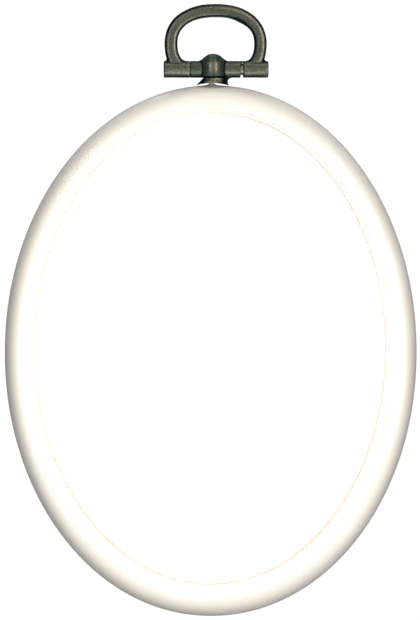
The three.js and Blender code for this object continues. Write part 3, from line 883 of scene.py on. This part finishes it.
def band_material():
    m = Nodes("band_plastic")
    cloud = m.noise(35, 4, 0.55)
    fine = m.noise(700, 3, 0.6)
    base = m.mix(m.remap(cloud, 0.35, 0.65), (0.93, 0.885, 0.80), (0.95, 0.91, 0.84))
    # the edge at the back is darker and more yellow
    xyz = m.t.nodes.new("ShaderNodeSeparateXYZ")
    m.link(m.coords, xyz.inputs["Vector"])
    tone = m.remap(cloud, 0.3, 0.7, 0.85, 1.0)
    base = m.mix(m.math("MULTIPLY", m.remap(xyz.outputs["Y"], 0.0046, 0.0050, smooth=True), tone), base, (0.68, 0.56, 0.415))
    lines = m.noise(1.0, 3, 0.6, 0.0, m.scaled(60, 4200, 60))
    rough = m.math("ADD", m.remap(lines, 0.3, 0.7, 0.30, 0.42), m.math("MULTIPLY", fine, 0.06))
    n = m.bump(m.math("ADD", m.math("MULTIPLY", lines, 0.5), m.math("MULTIPLY", fine, 0.5)), 0.000015, 0.6)
    m.set(Base_Color=base, Roughness=rough, Normal=n)
    m.bsdf.inputs["IOR"].default_value = 1.49
    m.bsdf.inputs["Subsurface Weight"].default_value = 0.15
    m.bsdf.inputs["Subsurface Radius"].default_value = (1.0, 0.66, 0.38)
    m.bsdf.inputs["Subsurface Scale"].default_value = 0.0015
    return m.mat


def bronze_material():
    m = Nodes("antique_bronze")
    wear_and_painted_light, edge, hollow = m.attr("wear_and_painted_light"), m.attr("edge"), m.attr("hollow")
    blotch = m.noise(520, 4, 0.6, 0.3)
    speck = m.noise(2600, 3, 0.65, 0.2)
    grain = m.noise(6500, 2, 0.6)
    # rubbed brass-bronze under a blackened, slightly green patina; the blackest colour is also painted shade where
    # surfaces turn away, and the bright worn colour is also painted highlight
    warm = m.mix(m.remap(speck, 0.38, 0.62), (0.053, 0.064, 0.048), (0.111, 0.117, 0.080))
    warm = m.mix(m.remap(blotch, 0.40, 0.66, 0.0, 0.55), warm, (0.046, 0.064, 0.055))
    warm = m.mix(m.math("MULTIPLY", m.remap(grain, 0.55, 0.75), 0.45), warm, (0.165, 0.148, 0.108))
    thin = m.mix(m.remap(speck, 0.38, 0.66), (0.024, 0.040, 0.039), (0.052, 0.072, 0.066))
    black_patina_and_painted_shade = m.mix(m.remap(speck, 0.45, 0.75), (0.0006, 0.003, 0.004), (0.003, 0.009, 0.010))
    bare_and_painted_highlight = m.mix(m.remap(speck, 0.35, 0.65), (0.32, 0.275, 0.185), (0.47, 0.395, 0.28))
    k = m.math("MULTIPLY", wear_and_painted_light, m.remap(m.math("ADD", blotch, m.math("MULTIPLY", speck, 0.4)), 0.40, 0.66, 0.72, 1.0))
    k = m.math("MULTIPLY", k, m.math("SUBTRACT", 1.0, m.math("MULTIPLY", hollow, 0.9)), clamp=True)
    base = m.mix(m.remap(k, 0.06, 0.36), black_patina_and_painted_shade, thin)
    base = m.mix(m.remap(k, 0.25, 0.95), base, warm)
    # the point attribute 'edge' brings in the bright colour: worn metal and painted highlights
    e = m.math("MULTIPLY", edge, m.remap(speck, 0.35, 0.6, 0.45, 1.0), clamp=True)
    base = m.mix(m.math("MULTIPLY", e, 0.75), base, bare_and_painted_highlight)
    rough = m.math("SUBTRACT", m.remap(speck, 0.3, 0.7, 0.50, 0.40), m.math("MULTIPLY", e, 0.08))
    n = m.bump(blotch, 0.00006, 0.45)
    n = m.bump(speck, 0.00003, 0.7, n)
    n = m.bump(grain, 0.000012, 0.6, n)
    m.set(Base_Color=base, Roughness=rough, Normal=n, Metallic=m.remap(k, 0.3, 0.9, 0.2, 1.0))
    m.bsdf.inputs["Specular IOR Level"].default_value = 0.2
    m.bsdf.inputs["Specular Tint"].default_value = (0.5, 0.53, 0.53, 1)
    return m.mat


def pin_material():
    m = Nodes("pin_metal")
    turned = m.noise(1.0, 3, 0.6, 0.0, m.scaled(9000, 260, 260))
    speck = m.noise(2400, 3, 0.6)
    base = m.mix(m.remap(speck, 0.35, 0.7), (0.235, 0.215, 0.165), (0.15, 0.14, 0.105))
    base = m.mix(m.remap(m.noise(500, 3, 0.6), 0.5, 0.8, 0.0, 0.5), base, (0.075, 0.08, 0.064))
    rough = m.remap(turned, 0.3, 0.7, 0.28, 0.46)
    n = m.bump(turned, 0.00001, 0.6)
    n = m.bump(speck, 0.000012, 0.5, n)
    m.set(Base_Color=base, Roughness=rough, Normal=n)
    m.bsdf.inputs["Metallic"].default_value = 1.0
    return m.mat


def zinc_material(name, ring_lines):
    m = Nodes(name)
    speck = m.noise(1900, 3, 0.6)
    patch = m.voronoi(900)
    base = m.mix(m.remap(patch, 0.1, 0.7), (0.52, 0.56, 0.59), (0.62, 0.65, 0.66))
    base = m.mix(m.remap(speck, 0.55, 0.8, 0.0, 0.5), base, (0.42, 0.43, 0.42))
    if ring_lines:
        w = m.t.nodes.new("ShaderNodeTexWave")
        w.wave_type = "RINGS"
        w.rings_direction = "Z"
        w.inputs["Scale"].default_value = 1900
        w.inputs["Distortion"].default_value = 3
        m.link(m.coords, w.inputs["Vector"])
        lines = w.outputs["Fac"]
    else:
        lines = m.noise(1.0, 3, 0.6, 0.0, m.scaled(300, 300, 7000))
    rough = m.remap(lines, 0.2, 0.8, 0.32, 0.48)
    n = m.bump(lines, 0.000006, 0.5)
    n = m.bump(speck, 0.00001, 0.5, n)
    m.set(Base_Color=base, Roughness=rough, Normal=n)
    m.bsdf.inputs["Metallic"].default_value = 1.0
    return m.mat


for obj, mat in (
    (vinyl, vinyl_material()),
    (inner, band_material()),
    (loop, bronze_material()),
    (pins["left"], pin_material()),
    (screw, zinc_material("zinc_screw", False)),
    (washer, zinc_material("zinc_washer", True)),
):
    obj.data.materials.clear()
    obj.data.materials.append(mat)
stem.data.materials.clear()
stem.data.materials.append(loop.data.materials[0])
pins["right"].data.materials.clear()
pins["right"].data.materials.append(pins["left"].data.materials[0])

# ---------------------------------------------------------------- pieces to bodies
for obj, body, node, slot in (
    (vinyl, "vinyl_ring", "outer_ring", "vinyl"),
    (washer, "vinyl_ring", "screw_washer", "zinc_steel"),
    (inner, "cloth_ring", "inner_ring", "plastic"),
    (loop, "hanger_loop", "hanger_bail", "bronze"),
    (pins["left"], "hanger_loop", "hinge_pin_left", "pin_metal"),
    (pins["right"], "hanger_loop", "hinge_pin_right", "pin_metal"),
    (stem, "stem", "hanger_stem", "bronze"),
    (screw, "stem", "fixing_screw", "zinc_steel"),
):
    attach(obj, body)
    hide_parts(node)

# ---------------------------------------------------------------- floor, light, camera

world = bpy.data.worlds.new("studio")
bpy.context.scene.world = world
world.use_nodes = True
wt = world.node_tree
wt.nodes.clear()
w_out = wt.nodes.new("ShaderNodeOutputWorld")
w_mix = wt.nodes.new("ShaderNodeMixShader")
w_path = wt.nodes.new("ShaderNodeLightPath")
w_seen = wt.nodes.new("ShaderNodeBackground")
w_seen.inputs["Color"].default_value = (1, 1, 1, 1)
w_seen.inputs["Strength"].default_value = 1.05
w_fill = wt.nodes.new("ShaderNodeBackground")
w_fill.inputs["Color"].default_value = (0.97, 0.985, 1.0, 1)
w_fill.inputs["Strength"].default_value = 0.175
wt.links.new(w_path.outputs["Is Camera Ray"], w_mix.inputs["Fac"])
wt.links.new(w_fill.outputs["Background"], w_mix.inputs[1])
wt.links.new(w_seen.outputs["Background"], w_mix.inputs[2])
wt.links.new(w_mix.outputs["Shader"], w_out.inputs["Surface"])

floor_mesh = bpy.data.meshes.new("floor")
h = 3.0
floor_mesh.from_pydata([(-h, -h, -0.30), (h, -h, -0.30), (h, h, -0.30), (-h, h, -0.30)], [], [(0, 1, 2, 3)])
floor = bpy.data.objects.new("floor", floor_mesh)
bpy.context.scene.collection.objects.link(floor)
fm = bpy.data.materials.new("floor_paint")
fm.use_nodes = True
ft = fm.node_tree
ft.nodes.clear()
f_out = ft.nodes.new("ShaderNodeOutputMaterial")
f_mix = ft.nodes.new("ShaderNodeMixShader")
f_path = ft.nodes.new("ShaderNodeLightPath")
f_seen = ft.nodes.new("ShaderNodeEmission")
f_seen.inputs["Strength"].default_value = 1.05
f_paint = ft.nodes.new("ShaderNodeBsdfDiffuse")
f_paint.inputs["Color"].default_value = (0.42, 0.42, 0.42, 1)
ft.links.new(f_path.outputs["Is Camera Ray"], f_mix.inputs["Fac"])
ft.links.new(f_paint.outputs["BSDF"], f_mix.inputs[1])
ft.links.new(f_seen.outputs["Emission"], f_mix.inputs[2])
ft.links.new(f_mix.outputs["Shader"], f_out.inputs["Surface"])
floor_mesh.materials.append(fm)

AIM = Vector((-0.21, 0, -77.23)) * MM


def softbox(name, azimuth, elevation, distance, width, height, power, colour=(1, 1, 1)):
    """Area light on a sphere round the object, facing it. Azimuth 0 is in front, positive to the right."""
    a, e = math.radians(azimuth), math.radians(elevation)
    where = AIM + distance * Vector((math.sin(a) * math.cos(e), -math.cos(a) * math.cos(e), math.sin(e)))
    data = bpy.data.lights.new(name, "AREA")
    data.shape = "RECTANGLE"
    data.size, data.size_y = width, height
    data.energy = power
    data.color = colour
    obj = bpy.data.objects.new(name, data)
    bpy.context.scene.collection.objects.link(obj)
    obj.location = where
    obj.rotation_euler = (AIM - where).to_track_quat("-Z", "Y").to_euler()
    obj.visible_camera = False
    return obj


def bounce(name, y, radius, power, facing):
    """Small round fill on the line through the middle of the opening, facing the hoop; it lights the inner walls."""
    data = bpy.data.lights.new(name, "AREA")
    data.shape = "DISK"
    data.size = 2 * radius
    data.energy = power
    obj = bpy.data.objects.new(name, data)
    bpy.context.scene.collection.objects.link(obj)
    obj.location = Vector((0, y, RING_CZ * MM))
    obj.rotation_euler = Vector((0, facing, 0)).to_track_quat("-Z", "Y").to_euler()
    obj.visible_camera = False
    return obj


softbox("softbox_left", -26, -1, 0.95, 0.42, 0.80, 2.88)
softbox("softbox_right", 31, -1, 0.95, 0.46, 0.85, 4.4)
softbox("softbox_upper", 6, 36, 0.95, 0.34, 0.26, 0.54)
softbox("top_panel", 0, 75, 0.95, 0.5, 0.5, 1.9)
softbox("back_high", 180, 60, 0.95, 0.5, 0.5, 1.95)
softbox("back_low", 180, -25, 0.95, 0.5, 0.5, 0.5)
bounce("front_bounce", -0.30, 0.06, 0.06, 1)
bounce("opening_front", -0.064, 0.03, 0.057, 1)
bounce("opening_back", 0.085, 0.03, 0.077, -1)

cam_data = bpy.data.cameras.new("camera")
cam_data.sensor_fit = "VERTICAL"
cam_data.sensor_height = 24.0
cam_data.sensor_width = 24.0 * 420 / 620
cam_data.lens = 2410.24 * 24.0 / 620
cam_data.clip_start = 0.01
cam_data.clip_end = 50
cam = bpy.data.objects.new("camera", cam_data)
bpy.context.scene.collection.objects.link(cam)
az, el, dist = math.radians(-1.5), math.radians(5.0), 0.640
back = Vector((math.sin(az) * math.cos(el), -math.cos(az) * math.cos(el), math.sin(el)))
right = Vector((math.cos(az), math.sin(az), 0))
up = back.cross(right)
cam.matrix_world = Matrix.Translation(AIM + dist * back) @ Matrix((right, up, back)).transposed().to_4x4()
bpy.context.scene.camera = cam

view = bpy.context.scene.view_settings
view.view_transform = "Standard"
view.look = "None"
view.exposure = 0.0
view.gamma = 1.0

for o in (vinyl, inner, loop, stem, screw, washer, pins["left"], pins["right"]):
    print(o.name, "faces", len(o.data.polygons), "triangles", sum(len(p.vertices) - 2 for p in o.data.polygons))
